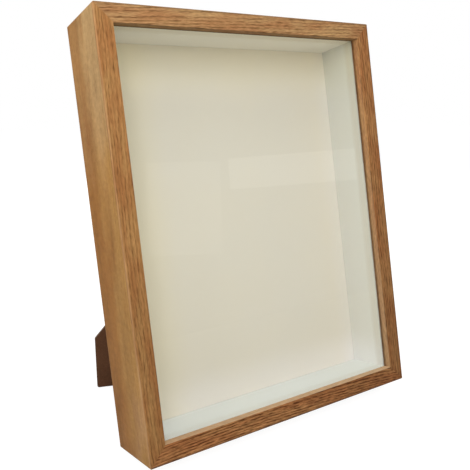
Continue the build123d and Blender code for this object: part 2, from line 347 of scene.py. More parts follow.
class Recipe(Tree):
    """A Geometry Nodes tree with named sizes, for fasteners that stand on a mesh's points."""

    def __init__(self, name: str) -> None:
        """Start a tree.

        Args:
            name: The tree's name.
        """
        super().__init__(bpy.data.node_groups.new(name, "GeometryNodeTree"))
        sockets = self.tree.interface
        sockets.new_socket(name="Geometry", in_out="INPUT", socket_type="NodeSocketGeometry")
        sockets.new_socket(name="Geometry", in_out="OUTPUT", socket_type="NodeSocketGeometry")
        self.entry = self.node("NodeGroupInput")
        self.values: dict[str, object] = {}

    def size(self, name: str, value: float) -> Field:
        """Add a named size to the tree.

        Args:
            name: The size's name.
            value: What it is set to.

        Returns:
            The size.
        """
        self.tree.interface.new_socket(name=name, in_out="INPUT", socket_type="NodeSocketFloat")
        self.values[name] = value
        return Field(self, self.entry.outputs[name])

    def choice(self, name: str, kind: str, value: object) -> Socket:
        """Add a named whole number or material to the tree.

        Args:
            name: The input's name.
            kind: Its socket type.
            value: What it is set to.

        Returns:
            The input.
        """
        self.tree.interface.new_socket(name=name, in_out="INPUT", socket_type=kind)
        self.values[name] = value
        return self.entry.outputs[name]

    def turned(self, stations: list[tuple[Field | float, Field | float]], segments: int) -> Socket:
        """A closed body turned around Z.

        Args:
            stations: The radius and height of each ring, from the bottom to the top.
            segments: How many faces go round.

        Returns:
            The mesh.
        """
        rows = len(stations)
        sheet = self.node(
            "GeometryNodeMeshGrid",
            {"Size X": 1.0, "Size Y": 1.0, "Vertices X": segments + 1, "Vertices Y": rows},
        )
        index = Field(self, self.node("GeometryNodeInputIndex").outputs[0])
        column = self.math("FLOOR", (index + 0.5) / rows)
        row = index - column * rows
        angle = column * (math.tau / segments)
        ring = self.node("GeometryNodeIndexSwitch", {"Index": row}, data_type="VECTOR")
        for _ in range(rows - 2):
            ring.index_switch_items.new()
        for number, (radius, height) in enumerate(stations):
            self.feed(ring.inputs[number + 1], self.joined(radius, 0.0, height))
        radius, _, height = self.split(ring.outputs[0])
        place = self.joined(radius * self.math("COSINE", angle), radius * self.math("SINE", angle), height)
        moved = self.node("GeometryNodeSetPosition", {"Geometry": sheet.outputs[0], "Position": place})
        closed = self.node("GeometryNodeMergeByDistance", {"Geometry": moved.outputs[0], "Distance": WELD})
        return closed.outputs[0]

    def smoothed(self, mesh: Socket, crease: float = 0.6) -> Socket:
        """Shade a mesh smooth, but for its sharp edges.

        Args:
            mesh: The mesh.
            crease: An edge is sharp if it turns by more than this, in radians.

        Returns:
            The shaded mesh.
        """
        angle = Field(self, self.node("GeometryNodeInputMeshEdgeAngle").outputs[0])
        sharp = self.math("GREATER_THAN", angle, crease)
        soft = self.node("GeometryNodeSetShadeSmooth", {0: mesh, "Shade Smooth": True}, domain="FACE")
        edged = self.node(
            "GeometryNodeSetShadeSmooth",
            {0: soft.outputs[0], "Selection": sharp, "Shade Smooth": False},
            domain="EDGE",
        )
        return edged.outputs[0]

    def stood(self, mesh: Socket, turn: object) -> None:
        """End the tree: stand the mesh on every point, with its Z along the point's own axis.

        Args:
            mesh: What stands there.
            turn: How far each one is turned about that axis, in radians.
        """
        finish = self.choice("Finish", "NodeSocketMaterial", None)
        axis = self.node("GeometryNodeInputNamedAttribute", {"Name": "axis"}, data_type="FLOAT_VECTOR")
        along = self.node("FunctionNodeAlignRotationToVector", {"Vector": axis.outputs[0]}, axis="Z")
        spin = self.node("FunctionNodeAxisAngleToRotation", {"Axis": (0.0, 0.0, 1.0), "Angle": turn})
        turned = self.node(
            "FunctionNodeRotateRotation",
            {"Rotation": along.outputs[0], "Rotate By": spin.outputs[0]},
            rotation_space="LOCAL",
        )
        copies = self.node(
            "GeometryNodeInstanceOnPoints",
            {"Points": self.entry.outputs["Geometry"], "Instance": mesh, "Rotation": turned.outputs[0]},
        )
        real = self.node("GeometryNodeRealizeInstances", {"Geometry": copies.outputs[0]})
        dressed = self.node("GeometryNodeSetMaterial", {"Geometry": real.outputs[0], "Material": finish})
        self.node("NodeGroupOutput", {"Geometry": dressed.outputs[0]})

    def run(self, name: str, seats: list["Seat"], finish: bpy.types.Material) -> bpy.types.Object:
        """Stand the fasteners on their seats, as one plain mesh.

        Args:
            name: The piece's name.
            seats: Where each fastener stands.
            finish: The material of them all.

        Returns:
            The piece, with no modifier left on it.
        """
        points = bpy.data.meshes.new(name)
        points.from_pydata([seat.place for seat in seats], [], [])
        for label, kind, part, values in (
            ("axis", "FLOAT_VECTOR", "vector", [value for seat in seats for value in seat.axis]),
            ("turn", "FLOAT", "value", [seat.turn for seat in seats]),
        ):
            points.attributes.new(label, kind, "POINT").data.foreach_set(part, values)
        piece = bpy.data.objects.new(name, points)
        bpy.context.scene.collection.objects.link(piece)
        modifier = piece.modifiers.new("fasteners", "NODES")
        modifier.node_group = self.tree
        for item in self.tree.interface.items_tree:
            if item.in_out == "INPUT" and item.name in self.values:
                modifier[item.identifier] = finish if item.name == "Finish" else self.values[item.name]
        evaluated = piece.evaluated_get(bpy.context.evaluated_depsgraph_get())
        mesh = bpy.data.meshes.new_from_object(evaluated)
        piece.modifiers.clear()
        piece.data = mesh
        while mesh.materials[0] is None:
            mesh.materials.pop(index=0)
        mesh.name = name
        return piece


# ---------------------------------------------------------------- places from the frame


class Axis(IntEnum):
    """The axes of the upright case."""

    ACROSS = 0
    BACK = 1
    UP = 2


@dataclass(frozen=True)
class Seat:
    """Where a fastener stands: its place, the axis that its head looks along, and its turn."""

    place: Vector
    axis: Vector
    turn: float = 0.0


@dataclass(frozen=True)
class Stance:
    """How the case leans, and its sizes before it leans.

    Args:
        place: Where the upright drawing's origin and axes are, in the frame.
    """

    place: Matrix

    @classmethod
    def of_frame(cls) -> "Stance":
        """Read the stance from the record's bottom face and the frame's oak members.

        Returns:
            The stance, with its origin in the middle of the front edge of the bottom.
        """
        mount = next(one for one in frame["record"]["mounts"] if one["name"] == "bottom_face")
        up = -Vector(mount["axis"]).normalized()
        right = Vector((1.0, 0.0, 0.0))
        turned = Matrix((right, up.cross(right), up)).transposed()
        upright = turned.inverted()
        corners = [upright @ vertex.co for vertex in frame["nodes"]["stile_left"].data.vertices]
        low = Vector((0.0, min(corner.y for corner in corners), min(corner.z for corner in corners)))
        return cls(Matrix.Translation(turned @ low) @ turned.to_4x4())

    def box(self, node: str) -> tuple[Vector, Vector]:
        """Measure a node in upright coordinates.

        Args:
            node: The node's name.

        Returns:
            The lowest and the highest corner of its box.
        """
        upright = self.place.inverted()
        corners = [upright @ vertex.co for vertex in frame["nodes"][node].data.vertices]
        low = Vector([min(corner[axis] for corner in corners) for axis in Axis])
        high = Vector([max(corner[axis] for corner in corners) for axis in Axis])
        return low, high

    def direction(self, x: float, y: float, z: float) -> Vector:
        """A direction of the upright case, in the frame."""
        return self.place.to_3x3() @ Vector((x, y, z))


def solids(node: str) -> list[list[Vector]]:
    """The separate solids of a CAD node.

    Args:
        node: The node's name.

    Returns:
        The corners of each solid, always in the same order.
    """
    work = bmesh.new()
    work.from_mesh(frame["nodes"][node].data)
    bmesh.ops.remove_doubles(work, verts=work.verts, dist=WELD)
    found, grouped = [], set()
    for first in work.verts:
        if first in grouped:
            continue
        grouped.add(first)
        group = [first]
        for vert in group:           # which grows as it is walked
            near = [edge.other_vert(vert) for edge in vert.link_edges]
            fresh = [other for other in near if other not in grouped]
            grouped.update(fresh)
            group += fresh
        found.append([vert.co.copy() for vert in group])
    work.free()
    return found


def widest_normal(node: str, towards: Vector) -> Vector:
    """Find which way the largest flat side of a node looks.

    Args:
        node: The node's name.
        towards: Roughly the way that it looks.

    Returns:
        The normal of that side.
    """
    roughly, digits = 0.5, 3         # the least cosine, and how closely the normals of one side agree
    areas: dict[tuple, float] = {}
    for face in frame["nodes"][node].data.polygons:
        if face.normal.dot(towards) > roughly:
            way = tuple(round(value, digits) for value in face.normal)
            areas[way] = areas.get(way, 0.0) + face.area
    return Vector(max(areas, key=areas.get)).normalized()


def dress(node: str, material: bpy.types.Material) -> None:
    """Put a material on a CAD node.

    Args:
        node: The node's name.
        material: The material.
    """
    for slot in frame["nodes"][node].material_slots:
        slot.material = material
    log.info("dressed %s in %s", node, material.name)


# ---------------------------------------------------------------- finishes


def tinted(colour: Colour, tint: Colour) -> Colour:
    """A colour times another."""
    return tuple(part * share for part, share in zip(colour, tint))


@dataclass(frozen=True)
class BoardLook:
    """How the board of one member looks beside the others.

    Args:
        stain: How it took the stain.
        painted_light_tones: How light it is at the member's two ends: painted light, lighter towards the top of
            the case and darker towards the bottom.
        slopes: How far its grain runs outwards, for its length, at the two ends.
        contrast: How strong its streaks are.
        arris: Its long outer edges: rubbed light with a painted highlight above 0, painted shade below 0.
        lip: The inner face of its lip at the member's two ends: painted light above 0, painted shade below 0.
        glass_shade: How dark the painted shade along the glass is.
    """

    stain: Colour
    painted_light_tones: Pair
    slopes: Pair
    contrast: float
    arris: float
    lip: Pair
    glass_shade: float


@dataclass(frozen=True)
class Member:
    """The surface of one oak member.

    Args:
        wood: Its material.
        spot: Its coordinates: along it, inwards from its outer side, and back from its front face.
        inwards: The second of them.
        depth: The third of them.
        ends: Where it is along the member, from 0 at one end to 1 at the other.
        grain: The distance inwards, bent as the grain is.
        bent: The coordinates, bent as the grain is.
        side: 1 on the sides of the box, 0 on the front face.
        calm: How much of the streaks shows there.
    """

    wood: Surface
    spot: Socket
    inwards: Field
    depth: Field
    ends: Field
    grain: Field
    bent: Socket
    side: Field
    calm: Field


@dataclass(frozen=True)
class Rings:
    """The growth rings, edge on in the front face."""

    pitch: float = 0.0021
    pith: Pair = (-0.060, 0.030)     # inwards and back from the member's outer front edge
    pace: Lumps = Lumps((0.0055, 1.0, 1.0), 2)
    uneven: float = 1.5              # how many rings the pace shifts them by
    first: float = 100.0             # the number of the ring in the pith, so that none is below 0
    bands: tuple[Pair, ...] = (      # a place across the ring, and how dark it is there
        (0.0, 1.0),
        (0.12, 0.9),
        (0.36, 0.3),
        (0.62, 0.05),
        (0.9, 0.25),
        (1.0, 0.65),
    )

    def band(self, member: Member) -> Field:
        """Make the dark band of each ring.

        Args:
            member: The member's surface.

        Returns:
            How dark the ring is there, from 0 to 1.
        """
        wood = member.wood
        out, back = self.pith
        radius = wood.distance(member.grain - out, member.depth - back)
        pace = wood.noise(wood.joined(radius, 0.0, 0.0), self.pace)
        ring = wood.math("FRACT", radius / self.pitch + pace * self.uneven + self.first)
        return wood.ramp(ring, self.bands)


@dataclass(frozen=True)
class Streaks:
    """The dark streaks, which follow the rings and break off and start again, and the pores."""

    run: Lumps = Lumps((0.009, 0.0012, 0.0012), 3, 1.0)
    run_even: float = 0.42           # how dark the long streaks are on the whole
    run_change: float = 1.9          # how much that changes along them
    run_share: float = 0.66          # how much they count beside the dashes
    dash: Lumps = Lumps((0.0055, 0.00070, 0.00070), 7, 0.5)
    dash_edge: Pair = (-0.02, 0.2)   # the noise at which a dash begins, and at which it is full
    dash_share: Pair = (0.07, 0.33)  # between the rings' bands, and in them
    pore: Lumps = Lumps((0.0028, 0.00018, 0.00018), 8)
    pore_edge: Pair = (0.08, 0.2)    # the noise at which a pore begins, and at which it is full
    pore_share: Pair = (0.2, 0.7)    # between the rings' bands, and in them

    def dashes(self, member: Member, band: Field) -> Field:
        """Make the streaks.

        Args:
            member: The member's surface.
            band: The dark band of each ring.

        Returns:
            How dark the wood is there, from 0 to about 1.
        """
        run = member.wood.noise(member.bent, self.run)
        dash = member.wood.noise(member.bent, self.dash).rise(*self.dash_edge)
        long = band * (self.run_even + run * self.run_change) * self.run_share
        return long + dash * band.between(*self.dash_share)

    def pores(self, member: Member, band: Field) -> Field:
        """Make the pores.

        Args:
            member: The member's surface.
            band: The dark band of each ring.

        Returns:
            How deep the pores are there, from 0 to about 1.
        """
        pore = member.wood.noise(member.bent, self.pore).rise(*self.pore_edge)
        return pore * band.between(*self.pore_share)


@dataclass(frozen=True)
class BoxSides:
    """The sides of the box: sapwood in front, heartwood behind, faded ends and dark clouds.

    An edge gives the noise, or the place, at which something begins, and at which it is full.
    """

    sapwood: Colour = (0.467, 0.248, 0.071)
    heartwood: Colour = (0.328, 0.140, 0.032)
    faded_near: Colour = (0.52, 0.302, 0.162)
    faded_far: Colour = (0.52, 0.356, 0.176)
    clouded: Colour = (0.72, 0.57, 0.50)
    wave: Lumps = Lumps((0.045, 0.030, 0.018), 9, 1.5)
    wave_depth: float = 0.036        # how far the wave moves the edge of the sapwood
    sap_edge: Pair = (0.013, 0.036)  # the depths between which sapwood turns into heartwood
    fresh: float = 0.362             # where along the member it is least faded
    fade_wave: float = 0.5
    fade_edge: Pair = (0.24, 0.56)   # the distances from there over which it fades
    fade_share: Pair = (0.7, 0.25)   # on sapwood, and on heartwood
    cloud: Lumps = Lumps((0.040, 0.020, 0.011), 10, 1.5)
    cloud_edge: Pair = (0.0, 0.26)
    mottle: Lumps = Lumps((0.011, 0.014, 0.014), 12, 2.0)
    mottle_edge: Pair = (0.04, 0.28)
    mottle_share: float = 0.75
    dark_share: Pair = (0.30, 0.66)  # of clouds and mottle: on sapwood, and on heartwood
    ripple: Lumps = Lumps((0.0026, 0.0036, 0.0036), 13, 2.0)
    ripple_tone: float = 0.50
    cover: float = 0.85              # how much of the sides' own colour covers the front's

    def over(self, member: Member, colour: Socket) -> Socket:
        """Lay the colours of the sides over that of the front face.

        Args:
            member: The member's surface.
            colour: The colour of the front face.

        Returns:
            The colour of every face.
        """
        wood, spot = member.wood, member.spot
        wave = wood.noise(spot, self.wave)
        back = (member.depth + wave * self.wave_depth).rise(*self.sap_edge)
        faces = wood.mixed(back, self.sapwood, self.heartwood)
        fade = ((member.ends - self.fresh).size() + wave * self.fade_wave).rise(*self.fade_edge)
        faded = wood.mixed(member.ends, self.faded_near, self.faded_far)
        faces = wood.mixed(fade * back.between(*self.fade_share), faces, faded)
        cloud = wood.noise(spot, self.cloud).rise(*self.cloud_edge)
        mottle = wood.noise(spot, self.mottle).rise(*self.mottle_edge)
        dimmed = (cloud + mottle * self.mottle_share) * back.between(*self.dark_share)
        faces = wood.mixed(dimmed, faces, self.clouded, "MULTIPLY")
        faces = wood.shaded(faces, 1.0 + wood.noise(spot, self.ripple) * self.ripple_tone)
        return wood.mixed(member.side * self.cover, colour, faces)


@dataclass(frozen=True)
class WearAndPaintedLight:
    """Marks on the wood: its long outer edges, rubbed light with a painted highlight on some members and in
    painted shade on others, and the inner face of its lip in painted light and painted shade, with painted shade
    along the glass.

    Args:
        lip_width: How wide the member's lip is.
        lip_depth: How deep it is, as far as the glass.
        depth: How deep the member is.
    """

    lip_width: float
    lip_depth: float
    depth: float
    # rubbed outer edges, lighter with a painted highlight
    edge_wear_and_light: Colour = (0.56, 0.34, 0.17)
    # painted light on the lips that face the lamps
    lip_light: Colour = (0.70, 0.492, 0.302)
    # painted shade on lips and outer edges that face away from the lamps
    lip_and_edge_shade: Colour = (0.10, 0.055, 0.030)
    arris: Pair = (0.0014, 0.0003)   # how far from an edge its mark ends, and how far it is full
    arris_back: float = 0.6          # the mark of the rear edge beside that of the front one
    arris_even: float = 0.7
    arris_patchy: float = 1.5
    lip_edge: Pair = (0.0002, 0.0009)       # the distances from the lip's edges over which it begins
    lip_behind: float = 0.0006       # how far it runs on behind the lip
    glass_shade_edge: Pair = (0.0032, 0.00128)     # how far from the glass the painted shade ends, and how far it is full

    def arrises(self, member: Member, cloud: Field) -> Field:
        """Make the mask of the long outer edges, rubbed light with a painted highlight on some members and in
        painted shade on others.

        Args:
            member: The member's surface.
            cloud: Where there is more and less of it.

        Returns:
            How worn the edge is there, from 0 to about 1.
        """
        wood = member.wood
        front = wood.distance(member.inwards, member.depth).rise(*self.arris)
        back = wood.distance(member.inwards, self.depth - member.depth).rise(*self.arris)
        return (front + back * self.arris_back) * (self.arris_even + cloud * self.arris_patchy)

    def lip_face(self, member: Member) -> Field:
        """Find the inner face of the lip.

        Args:
            member: The member's surface.

        Returns:
            1 on that face, 0 elsewhere.
        """
        near, far = self.lip_edge
        front = member.depth.rise(near, far)
        rear = member.depth.rise(self.lip_depth + self.lip_behind, self.lip_depth + near)
        return member.inwards.rise(self.lip_width - far, self.lip_width - near) * (front * rear)

    def glass_shade(self, member: Member) -> Field:
        """Painted shade where the lip meets the glass: 1 against the glass, 0 further forward."""
        start, full = self.glass_shade_edge
        return member.depth.rise(self.lip_depth - start, self.lip_depth - full)

    def edge_colour(self, look: BoardLook) -> Colour:
        """The colour of a member's outer edges: rubbed light with a painted highlight, or painted shade, by the
        sign of its arris.
        """
        return self.edge_wear_and_light if look.arris > 0 else self.lip_and_edge_shade

    def lip_light_colour(self, look: BoardLook) -> Colour:
        """The colour painted on the inner face of a member's lip: painted light, or painted shade where it faces
        away.
        """
        return self.lip_light if sum(look.lip) > 0 else self.lip_and_edge_shade


@dataclass(frozen=True)
class Oak:
    """Stained and waxed oak, ring porous, for one member of the box."""

    name: str
    seed: float
    length: float
    look: BoardLook
    wear_and_light: WearAndPaintedLight
    rings: Rings = Rings()
    streaks: Streaks = Streaks()
    box_sides: BoxSides = BoxSides()
    light: Colour = (0.43, 0.212, 0.074)
    golden: Colour = (0.46, 0.255, 0.090)
    ruddy: Colour = (0.37, 0.152, 0.050)
    dark: Colour = (0.125, 0.047, 0.015)
    in_pores: Colour = (0.6, 0.6, 0.6)      # beside `dark`
    light_share: float = 0.4
    wander: Lumps = Lumps((0.08, 0.03, 0.03))
    drift: float = 0.0035            # how far the grain wanders
    waver: Lumps = Lumps((0.016, 0.006, 0.006), 1, 1.0)
    sway: float = 0.0011             # how far the grain wavers
    face_edge: Pair = (0.0007, 0.0018)      # the depths over which the front face ends
    side_edge: Pair = (0.006, 0.003)        # the distances inwards over which the outer side begins
    side_calm: float = 0.35          # how much of the streaks shows on the sides of the box
    figure: Lumps = Lumps((0.030, 0.006, 0.006), 5, 1.5)
    figure_cloud: float = 0.7
    figure_edge: Pair = (-0.2, 0.2)
    strand: Lumps = Lumps((0.0045, 0.00075, 0.00075), 11, 1.0)
    strand_tone: float = 0.66
    strand_on_lip: float = 0.9
    fibre: Lumps = Lumps((0.006, 0.00035, 0.00035), 4, 2.0)
    fibre_tone: float = 0.3
    fibre_on_lip: float = 0.5
    cloud: Lumps = Lumps((0.07, 0.016, 0.014), 6, 1.0)
    cloud_tone: Pair = (0.25, 0.45)  # on the front face, and on the sides
    pore_stain: float = 0.5
    relief_depth: float = 0.00009
    relief_strength: float = 0.8
    level: float = 0.7               # of the wood in its relief
    fibre_height: float = 0.25
    streak_sink: float = 0.35
    pore_sink: float = 0.6
    roughness: float = 0.50
    pore_rough: float = 0.2
    fibre_rough: float = 0.12
    worn_smooth: float = 0.1
    gloss: float = 0.03

    def member(self, place: Matrix) -> Member:
        """Lay out the coordinates and the grain of the member.

        Args:
            place: Where the member's own axes are, in the frame.

        Returns:
            The member's surface.
        """
        wood = Surface(f"oak_{self.name}", self.seed)
        spot = wood.placed(place)
        along, inwards, depth = wood.split(spot)
        ends = along / self.length + 0.5
        slope, last_slope = self.look.slopes
        turning = last_slope - slope
        # The slope changes evenly from end to end, and this is its mean from the middle to the spot.
        mean_slope = slope + turning / 4 + ends * (turning / 2)
        grain = inwards + along * mean_slope
        grain += wood.noise(spot, self.wander) * self.drift
        grain += wood.noise(spot, self.waver) * self.sway
        behind = depth.rise(*self.face_edge)
        return Member(
            wood=wood,
            spot=spot,
            inwards=inwards,
            depth=depth,
            ends=ends.rise(0.0, 1.0),
            grain=grain,
            bent=wood.joined(along, grain, depth),
            side=behind * inwards.rise(*self.side_edge),
            calm=1.0 - behind * (1.0 - self.side_calm),
        )

    def stained(self, member: Member, cloud: Field) -> Socket:
        """Make the stained wood under its streaks.

        Args:
            member: The member's surface.
            cloud: Where it is lighter and darker.

        Returns:
            The colour of every face.
        """
        wood = member.wood
        figure = wood.noise(member.bent, self.figure) + cloud * self.figure_cloud
        colour = wood.mixed(figure.rise(*self.figure_edge), self.ruddy, self.golden)
        colour = wood.mixed(self.light_share, colour, self.light)
        colour = wood.mixed(1.0, colour, self.look.stain, "MULTIPLY")
        return self.box_sides.over(member, colour)

    def material(self, place: Matrix) -> bpy.types.Material:
        """Make the oak of one member.

        Args:
            place: Where the member's own axes are, in the frame.

        Returns:
            The material.
        """
        member = self.member(place)
        wood, look, wear_and_light = member.wood, self.look, self.wear_and_light
        band = self.rings.band(member)
        streak = self.streaks.dashes(member, band) * member.calm * look.contrast
        pores = self.streaks.pores(member, band) * member.calm
        strand = wood.noise(member.bent, self.strand)
        fibre = wood.noise(member.bent, self.fibre)
        cloud = wood.noise(member.spot, self.cloud)

        dark = tinted(self.dark, look.stain)
        colour = wood.mixed(streak, self.stained(member, cloud), dark)
        colour = wood.mixed(pores * self.pore_stain, colour, tinted(dark, self.in_pores))
        striped = strand * member.calm * (self.strand_tone * look.contrast)
        clouded = cloud * member.side.between(*self.cloud_tone)
        figured = 1.0 + fibre * self.fibre_tone + striped + clouded
        # the figure, times painted light: lighter towards the top of the case, darker towards the bottom
        colour = wood.shaded(colour, figured * member.ends.between(*look.painted_light_tones))

        # the outer edges: rubbed light with a painted highlight on some members, painted shade on the others
        edge_wear_and_light = wear_and_light.arrises(member, cloud)
        colour = wood.mixed(edge_wear_and_light * abs(look.arris), colour, wear_and_light.edge_colour(look))
        # the inner face of the lip: painted light where it faces the lamps, painted shade where it faces away
        lip = wear_and_light.lip_face(member)
        lip_share = member.ends.between(*(abs(share) for share in look.lip))
        colour = wood.mixed(lip * lip_share, colour, wear_and_light.lip_light_colour(look))
        colour = wood.shaded(colour, 1.0 + lip * (strand * self.strand_on_lip + fibre * self.fibre_on_lip))
        # painted shade along the glass, where the lip meets it
        colour = wood.shaded(colour, 1.0 - lip * wear_and_light.glass_shade(member) * look.glass_shade)

        height = self.level + fibre * self.fibre_height - streak * self.streak_sink - pores * self.pore_sink
        wood.relief(height, self.relief_depth, self.relief_strength)
        rough = self.roughness + pores * self.pore_rough + fibre * self.fibre_rough - edge_wear_and_light * self.worn_smooth
        return wood.finish(Base_Color=colour, Roughness=rough, Specular_IOR_Level=self.gloss)


@dataclass(frozen=True)
class ClearGlass:
    """Thin float glass that lets the lamps through."""

    name: str = "clear_glass"
    seed: float = 3.0
    tint: Colour = (0.985, 0.995, 0.988)
    passed: Colour = (0.92, 0.94, 0.925)
    refraction: float = 1.5
    ripple: Lumps = Lumps((0.07, 0.07, 0.07))
    ripple_depth: float = 0.00005
    ripple_strength: float = 0.4

    def material(self, place: Matrix) -> bpy.types.Material:
        """Make the glass.

        Args:
            place: Where the case's own axes are, in the frame.

        Returns:
            The material.
        """
        glass = Surface(self.name, self.seed)
        ripple = glass.noise(glass.placed(place), self.ripple)
        glass.relief(ripple, self.ripple_depth, self.ripple_strength)
        glass.finish(Base_Color=self.tint, Roughness=0.0, IOR=self.refraction, Transmission_Weight=1.0)
        rays = glass.node("ShaderNodeLightPath").outputs
        clear = glass.node("ShaderNodeBsdfTransparent", {"Color": self.passed}).outputs[0]
        solid = glass.shader.outputs[0]
        mix = glass.node("ShaderNodeMixShader", {0: rays["Is Diffuse Ray"], 1: solid, 2: clear})
        mix = glass.node("ShaderNodeMixShader", {0: rays["Is Shadow Ray"], 1: mix.outputs[0], 2: clear})
        glass.feed(glass.output.inputs["Surface"], mix.outputs[0])
        return glass.material


@dataclass(frozen=True)
class Fade:
    """A change of tint across a board.

    Args:
        axis: The upright axis that it runs along.
        start: The place on that axis where it begins.
        end: The place where it is complete.
        tint: What the colour is multiplied by there.
    """

    axis: Axis
    start: float
    end: float
    tint: Colour


@dataclass(frozen=True)
class FacedBoard:
    """Board with a matte paper face."""

    name: str
    seed: float
    paper: Colour
    fades: tuple[Fade, ...] = ()
    warmth: Colour = (1.0, 0.99, 0.965)     # of its blotches, beside the paper
    tooth: Lumps = Lumps((0.00035, 0.00035, 0.00035), 0, 2.0)
    tooth_tone: float = 0.02
    tooth_rough: float = 0.1
    tooth_depth: float = 0.00003
    tooth_strength: float = 0.3
    blotch: Lumps = Lumps((0.06, 0.06, 0.06), 1, 2.0)
    blotch_tone: float = 0.04
    blotch_edge: Pair = (-0.3, 0.3)
    seam_edge: Pair = (0.0006, 0.0001)      # how far from a seam its shade ends, and how far it is full
    seam_shade: float = 0.14
    roughness: float = 0.75
    gloss: float = 0.25

    def material(self, place: Matrix, seam: tuple[Axis, float]) -> bpy.types.Material:
        """Make the board.

        Args:
            place: Where the case's own axes are, in the frame.
            seam: An upright axis, and the place on it where the board meets its neighbour.

        Returns:
            The material.
        """
        board = Surface(self.name, self.seed)
        spot = board.placed(place)
        tooth = board.noise(spot, self.tooth)
        blotch = board.noise(spot, self.blotch)
        places = board.split(spot)
        axis, where = seam
        meeting = (places[axis] - where).size().rise(*self.seam_edge)
        mottled = 1.0 + tooth * self.tooth_tone + blotch * self.blotch_tone
        warm = tinted(self.paper, self.warmth)
        colour = board.mixed(blotch.rise(*self.blotch_edge), self.paper, warm)
        for fade in self.fades:
            share = places[fade.axis].rise(fade.start, fade.end)
            colour = board.mixed(share, colour, fade.tint, "MULTIPLY")
        colour = board.shaded(colour, mottled * (1.0 - meeting * self.seam_shade))
        board.relief(tooth + 0.5, self.tooth_depth, self.tooth_strength)
        rough = self.roughness + tooth * self.tooth_rough
        return board.finish(Base_Color=colour, Roughness=rough, Specular_IOR_Level=self.gloss)


@dataclass(frozen=True)
class Fibreboard:
    """Thin dark fibreboard with a pebbled paper face, and bare fibres on its cut edges."""

    name: str
    seed: float
    face: Colour = (0.107, 0.0445, 0.019)
    fleck: Colour = (0.160, 0.076, 0.038)
    edge: Colour = (0.125, 0.068, 0.036)
    fibre: Lumps = Lumps((0.0045, 0.0005, 0.0005), 0, 2.0)
    crossed: Lumps = Lumps((0.0005, 0.0045, 0.0005), 1, 2.0)
    fibre_edge: Pair = (0.08, 0.22)
    fibre_share: float = 0.5
    cloud: Lumps = Lumps((0.035, 0.035, 0.035), 2, 2.0)
    cloud_tone: float = 0.5
    pebble: float = 0.0011           # how wide a pebble is
    pebble_tone: float = 0.25
    cut_edge: Pair = (0.6, 0.3)      # how far a face looks along the board's normal where it is a cut
    cut_share: float = 0.8
    relief_depth: float = 0.00012
    relief_strength: float = 0.6
    level: float = 0.6               # of the face in its relief
    pebble_sink: float = 0.5
    fibre_height: float = 0.2
    roughness: float = 0.58
    pebble_rough: float = 0.12
    gloss: float = 0.16

    def material(self, place: Matrix) -> bpy.types.Material:
        """Make the fibreboard.

        Args:
            place: Where the board's own axes are, with Z along its normal, in the frame.

        Returns:
            The material.
        """
        board = Surface(self.name, self.seed)
        spot = board.placed(place)
        pebbles = board.node(
            "ShaderNodeTexVoronoi",
            {"Vector": spot, "Scale": 1 / self.pebble, "Randomness": 1.0},
            feature="SMOOTH_F1",
        )
        lump = Field(board, pebbles.outputs["Distance"])
        fibres = board.noise(spot, self.fibre)
        crossed = board.noise(spot, self.crossed)
        cloud = board.noise(spot, self.cloud)
        strands = fibres.rise(*self.fibre_edge) + crossed.rise(*self.fibre_edge)
        colour = board.mixed(strands * self.fibre_share, self.face, self.fleck)
        colour = board.shaded(colour, 1.0 + cloud * self.cloud_tone - lump * self.pebble_tone)
        normal = place.to_3x3() @ Vector((0.0, 0.0, 1.0))
        facing = board.node(
            "ShaderNodeVectorMath", {0: board.where.outputs["Normal"], 1: normal}, operation="DOT_PRODUCT"
        )
        cut = Field(board, facing.outputs["Value"]).size().rise(*self.cut_edge)
        colour = board.mixed(cut * self.cut_share, colour, self.edge)
        height = self.level - lump * self.pebble_sink + fibres * self.fibre_height
        board.relief(height, self.relief_depth, self.relief_strength)
        rough = self.roughness + lump * self.pebble_rough
        return board.finish(Base_Color=colour, Roughness=rough, Specular_IOR_Level=self.gloss)


@dataclass(frozen=True)
class Plating:
    """A plating: its colour, its roughness, and the size of its spangles."""

    colour: Colour
    roughness: float
    spangle: float


class Plate(Enum):
    """The platings of the steel parts."""

    ZINC = Plating((0.44, 0.45, 0.47), 0.34, 0.0022)
    NICKEL = Plating((0.50, 0.465, 0.41), 0.26, 0.0050)


